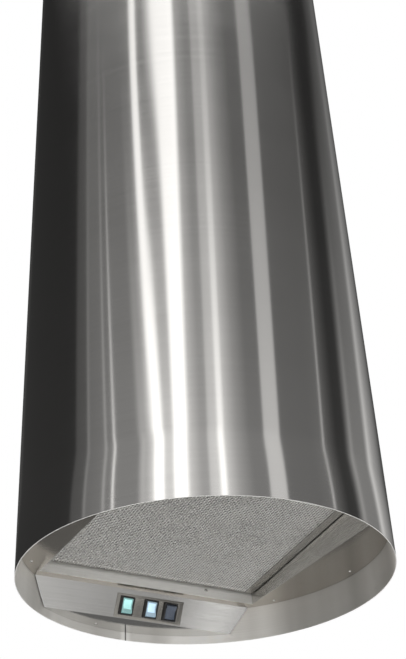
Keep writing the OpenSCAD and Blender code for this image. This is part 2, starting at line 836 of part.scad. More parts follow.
module duct_clamp() {
    color([0.78, 0.78, 0.76]) translate([0, spigot_y, duct_low + 6]) difference() {
        union() {
            cylinder(r = duct_r + 1.2, h = 12);
            span([-8, 8], [-duct_r - 9, -duct_r], [1, 11]);
        }
        translate([0, 0, -1]) cylinder(r = duct_r, h = 14);
    }
}

// ---------- electrical parts ----------

module terminal_box() {
    color([0.2, 0.2, 0.21]) difference() {
        span(box_x, [box_y[0], box_y[1] - box_t], box_z);
        span([box_x[0] + box_t, box_x[1] - box_t], [box_y[0] + box_t, box_y[1]],
            [box_z[0] + box_t, box_z[1] - box_t]);
        translate([gland_at[0], gland_at[1], box_z[1] - box_t - 1]) cylinder(r = 8, h = 5, $fn = 32);
        translate([switch_loom_at[0], switch_loom_at[1], box_z[0] - 1]) cylinder(r = loom_r, h = 5, $fn = 24);
        translate([lamp_drop[0], lamp_drop[1], box_z[0] - 1]) cylinder(r = loom_r, h = 5, $fn = 24);
        translate([motor_lead_x, box_y[0] - 1, blower_z]) along_y() cylinder(r = loom_r, h = 5, $fn = 24);
    }
}

module terminal_lid() {
    color([0.24, 0.24, 0.25]) span(box_x, [box_y[1] - box_t, box_y[1]], box_z);
}

module terminal_block() {
    color([0.9, 0.9, 0.86]) difference() {
        span([-35, 45], [box_y[0] + box_t, box_y[0] + 20], [225, 245]);
        for (i = [0 : 5]) translate([-28.5 + 13.2 * i, box_y[0] + 12, 235]) along_y()
            cylinder(r = 3, h = 20, $fn = 24);
    }
}

module run_capacitor() {
    color([0.85, 0.85, 0.82]) translate([-150, cy + 18, 245]) along_x() cylinder(r = 17.5, h = 72);
    color([0.5, 0.5, 0.5]) span([-122, -108], [cy, cy + 1.2], [222, 268]);
}

module cable_gland() {
    color([0.1, 0.1, 0.1]) translate([gland_at[0], gland_at[1], 0]) difference() {
        union() {
            translate([0, 0, box_z[1] - box_t - 3]) cylinder(r = 8, h = 8, $fn = 32);
            translate([0, 0, box_z[1]]) cylinder(r = 12, h = 6, $fn = 6);
            translate([0, 0, box_z[1] + 6]) cylinder(r = 9, h = 12, $fn = 32);
        }
        translate([0, 0, box_z[1] - 10]) cylinder(r = gland_r, h = 40, $fn = 48);
    }
}

module switch_loom() {
    x = switch_loom_at[0];
    y = switch_loom_at[1];
    low = 38;
    color([0.15, 0.15, 0.16]) {
        wire([[x, y, box_z[0] + 1], [x, y, low]], loom_r);
        wire([[switch_x[0] - 3, y, low], [switch_x[2] + 3, y, low]], loom_r);
        for (i = [0 : 2]) wire([[switch_x[i], y, low], [switch_x[i], y - 5, low + 9.5]], 1.6);
    }
}

// Leads to the lamps, laid along the tube's wall just above the soffit
module lamp_loom() {
    z = soffit_z + 9;
    run_r = tube_ri - 6.2;
    start = atan2(-lamp_drop[0], lamp_drop[1]);
    stop = 180 - atan2(lamp_x, lamp_y);
    can_gap = lamp_can_r;
    color([0.15, 0.15, 0.16]) {
        translate([lamp_drop[0], lamp_drop[1], z - 2])
            cylinder(r = loom_r, h = box_z[0] + 3 - z, $fn = 24);
        facing(-start) translate([0, norm(lamp_drop), z]) along_y()
            cylinder(r = 2.6, h = run_r - norm(lamp_drop), $fn = 24);
        translate([0, 0, z]) rotate([0, 0, 90 + start]) rotate_extrude(angle = stop - start, $fn = 128)
            translate([run_r, 0]) circle(r = 3, $fn = 24);
        facing(-stop) translate([0, norm([lamp_x, lamp_y]) + can_gap, z]) along_y()
            cylinder(r = 2.6, h = run_r - norm([lamp_x, lamp_y]) - can_gap, $fn = 24);
        wire([[-lamp_x + can_gap, -lamp_y, z], [lamp_x - can_gap, -lamp_y, z]], 3);
    }
}

module motor_lead() {
    color([0.15, 0.15, 0.16])
        wire([[motor_lead_x, box_y[0] + 8, blower_z], [motor_lead_x, motor_r + 2.5, blower_z]], loom_r);
}

// Split bushings where looms pass through sheet
module grommets() {
    color([0.1, 0.1, 0.1]) {
        translate([switch_loom_at[0], switch_loom_at[1], soffit_z]) grommet();
        translate([motor_lead_x, cy - chamber_t, blower_z]) along_y() grommet();
    }
}

module grommet() {
    difference() {
        union() {
            translate([0, 0, -1.5]) cylinder(r = grommet_r, h = 1.5, $fn = 32);
            cylinder(r = grommet_r - 2, h = sheet, $fn = 32);
        }
        translate([0, 0, -3]) cylinder(r = loom_r, h = 8, $fn = 24);
    }
}

outer_tube();
ceiling_ring();
tube_screws();
hanger_posts();
post_bolts();
soffit_plate();
wall_tabs();
rivets();
surround_back();
surround_front();
surround_left();
surround_right();
chamber_box();
filter_pivots();
filter_stops();
catch_magnets();
filter_frame();
filter_mesh_lower();
filter_mesh_upper();
filter_core();
pull_eyes();
pull_ring();
control_panel();
switch_plate();
switch_housing_light();
switch_housing_fan();
switch_housing_speed();
switch_terminals();
switch_lamps();
rocker_light();
rocker_fan();
rocker_speed();
lamp_bezels();
lamp_lenses();
lamp_cans();
lamp_modules();
scroll_wrap();
scroll_side_left();
scroll_side_right();
inlet_rings();
impeller();
motor_shaft();
motor_body();
motor_bracket();
motor_grommets();
outlet_spigot();
damper_rod();
damper_flap_front();
damper_flap_back();
exhaust_duct();
duct_clamp();
terminal_box();
terminal_lid();
terminal_block();
run_capacitor();
cable_gland();
switch_loom();
lamp_loom();
motor_lead();
grommets();
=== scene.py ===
import json
import math
import bmesh
import bpy
import numpy as np
from mathutils import Matrix, Vector

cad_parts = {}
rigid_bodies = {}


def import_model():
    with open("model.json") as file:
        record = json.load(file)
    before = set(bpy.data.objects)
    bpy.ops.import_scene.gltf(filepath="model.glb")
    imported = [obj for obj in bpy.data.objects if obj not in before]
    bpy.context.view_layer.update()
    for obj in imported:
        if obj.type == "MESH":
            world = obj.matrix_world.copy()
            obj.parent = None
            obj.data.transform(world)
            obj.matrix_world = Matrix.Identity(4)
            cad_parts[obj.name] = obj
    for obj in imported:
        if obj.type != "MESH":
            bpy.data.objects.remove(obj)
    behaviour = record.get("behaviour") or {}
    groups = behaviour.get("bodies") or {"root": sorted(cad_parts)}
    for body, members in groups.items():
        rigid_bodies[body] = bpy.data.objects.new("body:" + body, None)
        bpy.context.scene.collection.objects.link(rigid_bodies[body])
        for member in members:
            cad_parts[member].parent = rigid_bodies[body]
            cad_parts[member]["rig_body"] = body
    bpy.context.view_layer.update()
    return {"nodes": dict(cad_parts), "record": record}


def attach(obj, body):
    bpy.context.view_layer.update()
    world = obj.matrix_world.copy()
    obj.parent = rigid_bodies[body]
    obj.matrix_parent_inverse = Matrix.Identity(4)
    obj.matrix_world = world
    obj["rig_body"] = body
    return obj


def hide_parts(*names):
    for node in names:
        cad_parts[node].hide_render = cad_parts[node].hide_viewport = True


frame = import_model()
NODES = frame["nodes"]
SLOTS = {s["node"]: s["material_slot"] for s in frame["record"]["subparts"]}

# Sizes in metres that the visual pieces share with the CAD.
TUBE_R = 0.300
TUBE_INNER_R = 0.2985
TUBE_H = 1.350
SEAM_HALF = 0.00045
SEAM_DEPTH = 0.0005
FILTER_ORIGIN = Vector((0.0, 0.192, 0.0761))
FILTER_TILT = math.radians(-5.7)
MESH_PITCH = 0.0048
MESH_WIRE = 0.0011
WEAVE_X = (-0.1984, 0.1984)
WEAVE_Y = (-0.3809, -0.0013)
WEAVE_LOWER_Z = 0.0017
FLOOR_Z = -1.5
SHARP_EDGE_DEGREES = 35.0

# Camera fitted to the photograph's angle: metres, degrees and millimetres of lens.
CAMERA_AT = (-0.8562, -1.5011, -0.6979)
CAMERA_TURN, CAMERA_LIFT, CAMERA_ROLL = -30.252, 124.258, -3.146
CAMERA_LENS = 62.88


# ---------------------------------------------------------------- camera and studio

def make_camera():
    """The camera at the photograph's angle, without depth of field."""
    data = bpy.data.cameras.new("camera")
    data.lens = CAMERA_LENS
    data.sensor_width = 36.0
    data.dof.use_dof = False
    data.clip_start = 0.05
    data.clip_end = 60.0
    cam = bpy.data.objects.new("camera", data)
    bpy.context.scene.collection.objects.link(cam)
    turn = Matrix.Rotation(math.radians(CAMERA_TURN), 4, "Z")
    lift = Matrix.Rotation(math.radians(CAMERA_LIFT), 4, "X")
    roll = Matrix.Rotation(math.radians(CAMERA_ROLL), 4, "Z")
    cam.matrix_world = Matrix.Translation(CAMERA_AT) @ turn @ lift @ roll
    bpy.context.scene.camera = cam


# The room round the hood: azimuth in degrees (0 = front, + to the right), then how bright the
# room looks there in the steel, at the low and the high elevation, from 0 to 255. These values
# were read off the photographed tube and thinned, so they repeat its streaks.
ROOM = [
    (-120, 48, 40), (-111, 50, 40), (-109.5, 78, 70), (-101.5, 82, 74), (-100, 135, 105),
    (-98.5, 104, 95), (-88.5, 112, 92), (-87, 165, 112), (-85.5, 116, 90), (-82, 118, 88),
    (-81.4, 230, 98), (-80.4, 230, 98), (-79.8, 122, 94), (-66, 122, 95), (-63, 175, 96),
    (-60.5, 165, 96), (-57, 205, 110), (-55, 290, 235), (-51, 290, 235), (-49.5, 205, 108),
    (-45.5, 205, 105), (-44, 280, 240), (-38, 290, 255), (-35.5, 200, 140), (-29, 155, 110),
    (-25.5, 152, 112), (-24.5, 195, 148), (-19.5, 205, 150), (-18.5, 270, 165), (-16, 270, 165),
]
ROOM_RIGHT = [
    (-16, 270, 165), (-14.8, 200, 148), (-8, 150, 110), (0, 116, 78), (8.5, 114, 76),
    (9.2, 187, 135), (18.8, 187, 135), (19.6, 100, 78), (40, 98, 74), (49, 104, 70),
    (49.6, 178, 78), (50.6, 178, 78), (51.2, 98, 66), (58, 70, 45), (62, 54, 40), (69, 56, 40),
    (75.5, 147, 45), (79, 118, 60), (92, 114, 78), (97.5, 190, 88), (104, 145, 84),
    (118, 100, 66), (126, 66, 50), (134, 60, 48),
]
# How far each feature leans over between the two elevations: middle azimuth, degrees. Also read
# off the photographed tube.
LEAN = [(-180, 0), (-125, -4), (-103, -7), (-87, -12), (-60, -14.5), (-40, 2), (-15.5, 4),
        (17.75, 7.5), (57, 14), (107, 20), (180, 0)]
LOW_ELEVATION, HIGH_ELEVATION = 26, 48
ROOM_PEAK = 300.0
DISPLAY_GAMMA = 2.2
ROOM_GAIN = 1.62
# Below the horizon: along the front half, from -60 to +60 degrees, half the brightness there.
UNDER_FRONT = [(0.0, 0.34), (0.60, 0.38), (0.68, 0.38), (0.715, 0.24), (0.758, 0.20), (0.764, 0.75),
               (0.770, 0.75), (0.776, 0.19), (0.80, 0.18), (1.0, 0.34)]
UNDER_DIM = 0.16
UNDER_DIM_AZIMUTH = 150.0
OVERHEAD_LIGHT = 2.7


class Graph:
    """A small helper that adds nodes and links to one node tree."""

    def __init__(self, tree):
        self.tree = tree
        self.tree.nodes.clear()

    def node(self, kind, **values):
        made = self.tree.nodes.new(kind)
        for name, value in values.items():
            setattr(made, name, value)
        return made

    def link(self, out, into):
        self.tree.links.new(out, into)

    def math(self, operation, a, b=None):
        made = self.node("ShaderNodeMath", operation=operation)
        for i, value in enumerate((a, b)):
            if value is None:
                continue
            if isinstance(value, (int, float)):
                made.inputs[i].default_value = value
            else:
                self.link(value, made.inputs[i])
        return made.outputs[0]

    def span(self, value, low, high, to_low=0.0, to_high=1.0, smooth=False):
        made = self.node("ShaderNodeMapRange")
        if smooth:
            made.interpolation_type = "SMOOTHSTEP"
        self.link(value, made.inputs[0])
        for i, number in enumerate((low, high, to_low, to_high)):
            made.inputs[i + 1].default_value = number
        return made.outputs[0]

    def ramp(self, value, stops):
        made = self.node("ShaderNodeValToRGB")
        elements = made.color_ramp.elements
        while len(elements) > 1:
            elements.remove(elements[-1])
        elements[0].position = stops[0][0]
        elements[0].color = colour4(stops[0][1])
        for at, colour in stops[1:]:
            elements.new(at).color = colour4(colour)
        self.link(value, made.inputs[0])
        return made.outputs[0]

    def mix(self, factor, a, b):
        made = self.node("ShaderNodeMix", data_type="RGBA")
        for i, value in ((0, factor), (6, a), (7, b)):
            if isinstance(value, (int, float)):
                made.inputs[i].default_value = value
            elif isinstance(value, (tuple, list)):
                made.inputs[i].default_value = colour4(value)
            else:
                self.link(value, made.inputs[i])
        return made.outputs[2]

    def mixf(self, factor, a, b):
        made = self.node("ShaderNodeMix", data_type="FLOAT")
        for i, value in ((0, factor), (2, a), (3, b)):
            if isinstance(value, (int, float)):
                made.inputs[i].default_value = value
            else:
                self.link(value, made.inputs[i])
        return made.outputs[0]


def colour4(value):
    """A grey level or a colour as the four numbers that a socket wants."""
    if isinstance(value, (int, float)):
        return (value, value, value, 1.0)
    return (*value[:3], 1.0)


def room_ramp(g, azimuth, table, column):
    """One part of the room's brightness by azimuth, as a value from 0 to 1."""
    low, high = table[0][0], table[-1][0]
    at = g.span(azimuth, low, high)
    stops = [((row[0] - low) / (high - low), row[column] / ROOM_PEAK) for row in table]
    return g.ramp(at, stops)


def room_lean(g, azimuth):
    """Degrees by which the room's verticals lean over at this azimuth."""
    stops = [((a + 180) / 360, (lean + 30) / 60) for a, lean in LEAN]
    value = g.ramp(g.span(azimuth, -180, 180), stops)
    return g.span(value, 0, 1, -30, 30)


def make_world():
    """A room seen only in reflections: banded walls and a bright ceiling, with plain white behind."""
    world = bpy.data.worlds.new("studio")
    bpy.context.scene.world = world
    world.use_nodes = True
    g = Graph(world.node_tree)
    place = g.node("ShaderNodeTexCoord")
    parts = g.node("ShaderNodeSeparateXYZ")
    g.link(place.outputs["Generated"], parts.inputs[0])
    back = g.math("MULTIPLY", parts.outputs[1], -1.0)
    azimuth = g.math("MULTIPLY", g.math("ARCTAN2", parts.outputs[0], back), 180 / math.pi)
    elevation = g.math("MULTIPLY", g.math("ARCSINE", parts.outputs[2]), 180 / math.pi)
    rise = g.span(elevation, LOW_ELEVATION, HIGH_ELEVATION)
    straight = g.math("SUBTRACT", azimuth, g.math("MULTIPLY", rise, room_lean(g, azimuth)))
    sides = []
    for column in (1, 2):
        left = room_ramp(g, straight, ROOM, column)
        right = room_ramp(g, straight, ROOM_RIGHT, column)
        is_right = g.math("GREATER_THAN", straight, ROOM_RIGHT[0][0])
        sides.append(g.mixf(is_right, left, right))
    walls = g.mixf(rise, sides[0], sides[1])
    light = g.math("POWER", g.math("MULTIPLY", walls, ROOM_PEAK / 255), DISPLAY_GAMMA)
    light = g.math("MULTIPLY", light, ROOM_GAIN)
    off_back = g.math("ABSOLUTE", g.math("SUBTRACT", azimuth, UNDER_DIM_AZIMUTH))
    dim = g.span(off_back, 18, 34, 1.0, 0.0, smooth=True)
    front = g.ramp(g.span(azimuth, -60, 60), UNDER_FRONT)
    under = g.mixf(dim, g.math("MULTIPLY", front, 2.0), UNDER_DIM)
    below = g.span(elevation, -14, -4, 0.85, 0.0, smooth=True)
    light = g.mixf(below, light, under)
    overhead = g.span(elevation, 52, 60, smooth=True)
    light = g.mixf(overhead, light, OVERHEAD_LIGHT)
    tint = g.mix(0.5, (1.0, 1.0, 1.0), (1.0, 0.985, 0.96))
    shine = g.node("ShaderNodeBackground")
    g.link(tint, shine.inputs[0])
    g.link(light, shine.inputs[1])
    white = g.node("ShaderNodeBackground")
    white.inputs[0].default_value = (1.0, 1.0, 1.0, 1.0)
    white.inputs[1].default_value = 1.0
    path = g.node("ShaderNodeLightPath")
    both = g.node("ShaderNodeMixShader")
    g.link(path.outputs["Is Camera Ray"], both.inputs[0])
    g.link(shine.outputs[0], both.inputs[1])
    g.link(white.outputs[0], both.inputs[2])
    out = g.node("ShaderNodeOutputWorld")
    g.link(both.outputs[0], out.inputs[0])
    world.cycles.sampling_method = "MANUAL"
    world.cycles.sample_map_resolution = 1024


def make_floor():
    """A plain pale round floor under the hanging hood."""
    bm = bmesh.new()
    bmesh.ops.create_circle(bm, cap_ends=True, radius=2.2, segments=96)
    floor = new_object("studio_floor", bm)
    floor.location.z = FLOOR_Z
    mat, g, shader = material("studio_floor_paint", (0.86, 0.855, 0.84), 0.75, 0.0)
    noise = noise_at(g, (3, 3, 3), 2.0, 3)
    g.link(g.mix(noise, (0.84, 0.835, 0.82), (0.88, 0.875, 0.86)), shader.inputs["Base Color"])
    floor.data.materials.append(mat)


# ---------------------------------------------------------------- materials

def material(name, colour, roughness, metallic):
    """A new material: itself, its node helper and its shader, linked to the output."""
    mat = bpy.data.materials.new(name)
    mat.use_nodes = True
    g = Graph(mat.node_tree)
    shader = g.node("ShaderNodeBsdfPrincipled")
    shader.inputs["Base Color"].default_value = colour4(colour)
    shader.inputs["Roughness"].default_value = roughness
    shader.inputs["Metallic"].default_value = metallic
    out = g.node("ShaderNodeOutputMaterial")
    g.link(shader.outputs[0], out.inputs[0])
    return mat, g, shader


def noise_at(g, scale, size, detail, turn=(0, 0, 0), distortion=0.0):
    """Noise in the object's own coordinates, stretched by scale."""
    place = g.node("ShaderNodeTexCoord")
    mapping = g.node("ShaderNodeMapping")
    mapping.inputs["Rotation"].default_value = turn
    mapping.inputs["Scale"].default_value = scale
    g.link(place.outputs["Object"], mapping.inputs[0])
    noise = g.node("ShaderNodeTexNoise")
    noise.inputs["Scale"].default_value = size
    noise.inputs["Detail"].default_value = detail
    noise.inputs["Distortion"].default_value = distortion
    g.link(mapping.outputs[0], noise.inputs["Vector"])
    return noise.outputs[0]


def bump_from(g, shader, height, strength, distance):
    """Raises the surface by a height value."""
    bump = g.node("ShaderNodeBump")
    bump.inputs["Strength"].default_value = strength
    bump.inputs["Distance"].default_value = distance
    g.link(height, bump.inputs["Height"])
    g.link(bump.outputs[0], shader.inputs["Normal"])


def brushed(name, colour, roughness, grain, anisotropy=0.0, axis=None, turn=0.25, contrast=0.12,
            cloud=0.06, bump=0.06, metallic=1.0):
    """Brushed metal: grain is the noise's stretch, short along the brush strokes' direction."""
    mat, g, shader = material(name, colour, roughness, metallic)
    strokes = noise_at(g, grain, 1.0, 4)
    clouds = noise_at(g, (1, 1, 1), 9.0, 3)
    dark = tuple(c * (1 - contrast) for c in colour)
    light = tuple(min(1.0, c * (1 + contrast)) for c in colour)
    streaked = g.mix(g.span(strokes, 0.3, 0.7), dark, light)
    shade = tuple(1 - cloud for _ in range(3))
    tone = g.mix(g.span(clouds, 0.35, 0.65), shade, (1.0, 1.0, 1.0))
    blend = g.node("ShaderNodeMix", data_type="RGBA", blend_type="MULTIPLY")
    blend.inputs[0].default_value = 1.0
    g.link(streaked, blend.inputs[6])
    g.link(tone, blend.inputs[7])
    g.link(blend.outputs[2], shader.inputs["Base Color"])
    uneven = g.math("ADD", g.math("MULTIPLY", strokes, 0.6), g.math("MULTIPLY", clouds, 0.4))
    g.link(g.span(uneven, 0.3, 0.7, roughness * 0.8, roughness * 1.25), shader.inputs["Roughness"])
    bump_from(g, shader, strokes, bump, 0.0004)
    if axis:
        shader.inputs["Anisotropic"].default_value = anisotropy
        shader.inputs["Anisotropic Rotation"].default_value = turn
        tangent = g.node("ShaderNodeTangent", direction_type="RADIAL", axis=axis)
        g.link(tangent.outputs[0], shader.inputs["Tangent"])
    return mat


# Light and dark painted into the colour of the tube's inner face, to stand for what it reflects
# in the photograph: a shade across X, and one pale patch behind. They don't move with the light.
INNER_SHADE = [(0.0, 0.92), (0.55, 1.0), (0.84, 1.15), (0.89, 1.05), (0.94, 0.64), (1.0, 0.5)]
PALE_PATCH_X = 0.102


def inside_steel():
    """The tube's inner face: vertical bands and a pale weld strip, both partly painted highlight, and
    the painted shading.
    """
    colour = (0.80, 0.785, 0.76)
    mat, g, shader = material("tube_inside", colour, 0.36, 0.72)
    # Random vertical bands of tone, which also serve as painted reflection streaks on the inner face.
    bands = noise_at(g, (11, 11, 0.4), 1.0, 2)
    strokes = noise_at(g, (3, 3, 1500), 1.0, 3)
    tone = g.math("ADD", g.math("MULTIPLY", bands, 0.85), g.math("MULTIPLY", strokes, 0.15))
    steel = g.mix(g.span(tone, 0.36, 0.64), (0.72, 0.705, 0.68), (1.0, 0.99, 0.965))
    place = g.node("ShaderNodeTexCoord")
    parts = g.node("ShaderNodeSeparateXYZ")
    g.link(place.outputs["Object"], parts.inputs[0])
    across = g.span(parts.outputs[0], -TUBE_R, TUBE_R)
    shade = g.ramp(across, INNER_SHADE)
    toned = g.node("ShaderNodeMix", data_type="RGBA", blend_type="MULTIPLY")
    toned.inputs[0].default_value = 1.0
    g.link(steel, toned.inputs[6])
    g.link(shade, toned.inputs[7])
    steel = toned.outputs[2]
    off = g.math("ABSOLUTE", parts.outputs[0])
    # A pale ground strip along the weld behind; its pale colour and rough, less metallic finish are
    # partly a painted highlight.
    strip = g.span(off, 0.005, 0.013, 1.0, 0.0, smooth=True)
    behind = g.math("GREATER_THAN", parts.outputs[1], 0.0)
    strip = g.math("MULTIPLY", strip, behind)
    # The pale patch at PALE_PATCH_X is a painted reflection, merged into the weld strip's mask below.
    patch = g.math("ABSOLUTE", g.math("SUBTRACT", parts.outputs[0], PALE_PATCH_X))
    patch = g.math("MULTIPLY", g.span(patch, 0.008, 0.026, 1.0, 0.0, smooth=True), behind)
    strip = g.math("MAXIMUM", strip, patch)
    steel = g.mix(strip, steel, (1.0, 0.99, 0.97))
    line = g.math("MULTIPLY", g.span(off, 0.0007, 0.0015, 1.0, 0.0, smooth=True), behind)
    g.link(g.mix(line, steel, (0.10, 0.095, 0.09)), shader.inputs["Base Color"])
    uneven = g.span(strokes, 0.3, 0.7, 0.40, 0.52)
    g.link(g.mixf(strip, uneven, 0.65), shader.inputs["Roughness"])
    g.link(g.mixf(strip, 0.5, 0.1), shader.inputs["Metallic"])
    bump_from(g, shader, strokes, 0.04, 0.0003)
    shader.inputs["Anisotropic"].default_value = 0.6
    shader.inputs["Anisotropic Rotation"].default_value = 0.25
    tangent = g.node("ShaderNodeTangent", direction_type="RADIAL", axis="Z")
    g.link(tangent.outputs[0], shader.inputs["Tangent"])
    return mat


def spangled(name, colour, roughness=0.38):
    """Galvanised sheet with its crystal pattern."""
    mat, g, shader = material(name, colour, roughness, 1.0)
    place = g.node("ShaderNodeTexCoord")
    cells = g.node("ShaderNodeTexVoronoi")
    cells.inputs["Scale"].default_value = 120.0
    g.link(place.outputs["Object"], cells.inputs["Vector"])
    tone = g.node("ShaderNodeSeparateColor")
    g.link(cells.outputs["Color"], tone.inputs[0])
    low = tuple(c * 0.8 for c in colour)
    high = tuple(min(1.0, c * 1.12) for c in colour)
    g.link(g.mix(tone.outputs[0], low, high), shader.inputs["Base Color"])
    rough = g.span(tone.outputs[1], 0, 1, roughness * 0.75, roughness * 1.3)
    g.link(rough, shader.inputs["Roughness"])
    bump_from(g, shader, noise_at(g, (1, 1, 1), 260.0, 3), 0.08, 0.0003)
    return mat


def plastic(name, colour, roughness, grain=900.0, bump=0.12, metallic=0.0, spread=0.12):
    """Moulded plastic, paint or rubber with a fine surface."""
    mat, g, shader = material(name, colour, roughness, metallic)
    fine = noise_at(g, (1, 1, 1), grain, 3)
    broad = noise_at(g, (1, 1, 1), 25.0, 2)
    dark = tuple(c * (1 - spread) for c in colour)
    light = tuple(min(1.0, c * (1 + spread)) for c in colour)
    g.link(g.mix(broad, dark, light), shader.inputs["Base Color"])
    g.link(g.span(fine, 0.3, 0.7, roughness * 0.85, roughness * 1.2), shader.inputs["Roughness"])
    bump_from(g, shader, fine, bump, 0.0002)
    return mat


def middle_of(g, half_x, half_z, soft=0.06):
    """1 in the middle of a piece's own box and 0 near its sides, across x and z."""
    place = g.node("ShaderNodeTexCoord")
    parts = g.node("ShaderNodeSeparateXYZ")
    g.link(place.outputs["Generated"], parts.inputs[0])
    inside = []
    for axis, half in ((0, half_x), (2, half_z)):
        off = g.math("ABSOLUTE", g.math("SUBTRACT", parts.outputs[axis], 0.5))
        inside.append(g.span(off, half - soft, half, 1.0, 0.0, smooth=True))
    return g.math("MULTIPLY", inside[0], inside[1])


def lit_plastic(name, colour, glow, strength, roughness=0.22):
    """Translucent rocker cap: brighter in its middle, where the lamp behind it sits."""
    mat, g, shader = material(name, colour, roughness, 0.0)
    fine = noise_at(g, (1, 1, 1), 500.0, 2)
    cloud = noise_at(g, (1, 1, 1), 60.0, 2)
    g.link(g.mix(cloud, tuple(c * 0.85 for c in colour), colour), shader.inputs["Base Color"])
    g.link(g.span(fine, 0.3, 0.7, roughness * 0.8, roughness * 1.3), shader.inputs["Roughness"])
    shader.inputs["Emission Color"].default_value = colour4(glow)
    uneven = g.span(cloud, 0.3, 0.7, strength * 0.8, strength * 1.2)
    glow_here = g.span(middle_of(g, 0.36, 0.30), 0, 1, 0.3, 1.0)
    g.link(g.math("MULTIPLY", uneven, glow_here), shader.inputs["Emission Strength"])
    shader.inputs["Coat Weight"].default_value = 0.3
    bump_from(g, shader, fine, 0.05, 0.0002)
    return mat


def frosted(name):
    """Frosted lamp glass that is backed by the lamp's white module."""
    mat, g, shader = material(name, (0.93, 0.95, 0.98), 0.35, 0.0)
    grain = noise_at(g, (1, 1, 1), 700.0, 3)
    g.link(g.mix(grain, (0.84, 0.87, 0.90), (0.97, 0.98, 1.0)), shader.inputs["Base Color"])
    g.link(g.span(grain, 0.3, 0.7, 0.25, 0.45), shader.inputs["Roughness"])
    shader.inputs["Transmission Weight"].default_value = 0.5
    shader.inputs["IOR"].default_value = 1.5
    bump_from(g, shader, grain, 0.15, 0.0002)
    return mat


def knitted(name, colour):
    """Packed aluminium mesh: bright strands over deep gaps painted near black, as painted shade."""
    mat, g, shader = material(name, colour, 0.35, 1.0)
    strands = noise_at(g, (1, 1, 1), 420.0, 5, distortion=1.5)
    # The gaps between strands are painted near black: painted shade in the mesh's depth.
    shaded_gap = g.span(strands, 0.42, 0.56)
    g.link(g.mix(shaded_gap, (0.02, 0.02, 0.02), colour), shader.inputs["Base Color"])
    g.link(g.span(shaded_gap, 0, 1, 0.6, 0.3), shader.inputs["Roughness"])
    bump_from(g, shader, strands, 0.9, 0.002)
    return mat


def make_materials():
    """Every material by the name of its slot; the two side walls share a darker copy of the surround
    steel, as painted shade.
    """
    around = (3, 3, 900)
    along_x = (4, 1800, 1800)
    return {
        "tube_steel": brushed("tube_steel", (0.62, 0.612, 0.60), 0.11, around, 0.8, "Z", 0.25,
                              0.025, 0.02, 0.012),
        "tube_inside": inside_steel(),
        # The rim's pale steel: the bare cut edge, and partly a painted highlight for the rim's bright
        # line.
        "cut_edge": brushed("cut_edge", (0.95, 0.94, 0.92), 0.45, (500, 500, 40), metallic=0.35),
        "soffit_steel": brushed("soffit_steel", (0.53, 0.50, 0.455), 0.12, along_x, contrast=0.04),
        # surround_steel and its darker copy for the two side walls are lit and shaded copies of one
        # steel: painted light and shade.
        "surround_steel": brushed("surround_steel", (0.98, 0.97, 0.94), 0.36, (4, 4, 1500),
                                  contrast=0.05, metallic=0.5),
        "surround_side": brushed("surround_side", (0.60, 0.59, 0.565), 0.24, (4, 4, 1500),
                                 contrast=0.05, metallic=0.92),
        "panel_steel": brushed("panel_steel", (0.68, 0.675, 0.66), 0.07, along_x, contrast=0.04),
        "plate_steel": brushed("plate_steel", (0.30, 0.29, 0.27), 0.18, along_x, contrast=0.06),
        "rivet_steel": brushed("rivet_steel", (0.55, 0.545, 0.53), 0.22, (60, 60, 60)),
        "fastener_zinc": brushed("fastener_zinc", (0.72, 0.72, 0.70), 0.25, (200, 200, 200)),
        "filter_aluminium": brushed("filter_aluminium", (0.42, 0.41, 0.39), 0.15, (900, 900, 60)),
        "mesh_aluminium": brushed("mesh_aluminium", (0.98, 0.97, 0.945), 0.28, (500, 500, 500),
                                  metallic=0.6),
        "lamp_chrome": brushed("lamp_chrome", (0.74, 0.74, 0.73), 0.14, (300, 300, 300), bump=0.02),
        "lamp_can": brushed("lamp_can", (0.66, 0.66, 0.65), 0.35, (200, 200, 200)),
        "terminal_brass": brushed("terminal_brass", (0.78, 0.60, 0.30), 0.30, (400, 400, 400)),
        "zinc_sheet": spangled("zinc_sheet", (0.62, 0.64, 0.66)),
        "zinc_frame": spangled("zinc_frame", (0.56, 0.58, 0.60), 0.42),
        "core_aluminium": knitted("core_aluminium", (0.46, 0.45, 0.43)),
        "magnet": plastic("magnet", (0.16, 0.16, 0.165), 0.45, 600.0, metallic=0.7),
        "switch_black": plastic("switch_black", (0.018, 0.018, 0.020), 0.42),
        "rocker_green": lit_plastic("rocker_green", (0.26, 0.44, 0.46), (0.50, 0.98, 0.93), 0.80),
        "rocker_blue": lit_plastic("rocker_blue", (0.30, 0.40, 0.50), (0.60, 0.84, 1.0), 0.85),
        "rocker_dark": lit_plastic("rocker_dark", (0.085, 0.11, 0.16), (0.1, 0.15, 0.25), 0.03),
        "switch_lamp": lit_plastic("switch_lamp", (0.85, 0.92, 1.0), (0.8, 0.95, 1.0), 0.4),
        "lamp_glass": frosted("lamp_glass"),
        "lamp_module": plastic("lamp_module", (0.88, 0.87, 0.80), 0.35),
        "motor_paint": plastic("motor_paint", (0.10, 0.105, 0.115), 0.38, 300.0),
        "motor_bracket": spangled("motor_bracket", (0.50, 0.52, 0.54), 0.40),
        "rubber": plastic("rubber", (0.02, 0.02, 0.02), 0.7, 500.0),
        "box_plastic": plastic("box_plastic", (0.045, 0.045, 0.05), 0.5, 500.0),
        "block_plastic": plastic("block_plastic", (0.82, 0.82, 0.77), 0.45, 500.0),
        "capacitor": plastic("capacitor", (0.78, 0.78, 0.74), 0.3, 400.0),
        "cable_black": plastic("cable_black", (0.03, 0.03, 0.033), 0.5, 700.0),
    }


def finish_nodes(mats):
    """Every CAD node takes the material of its slot in the record; the two side walls take the darker
    copy, painted shade.
    """
    for name, node in NODES.items():
        node.data.materials.clear()
        # The two side walls take the darker copy of the surround steel: painted shade.
        side = name in ("surround_left", "surround_right")
        node.data.materials.append(mats["surround_side" if side else SLOTS[name]])


# ---------------------------------------------------------------- geometry helpers

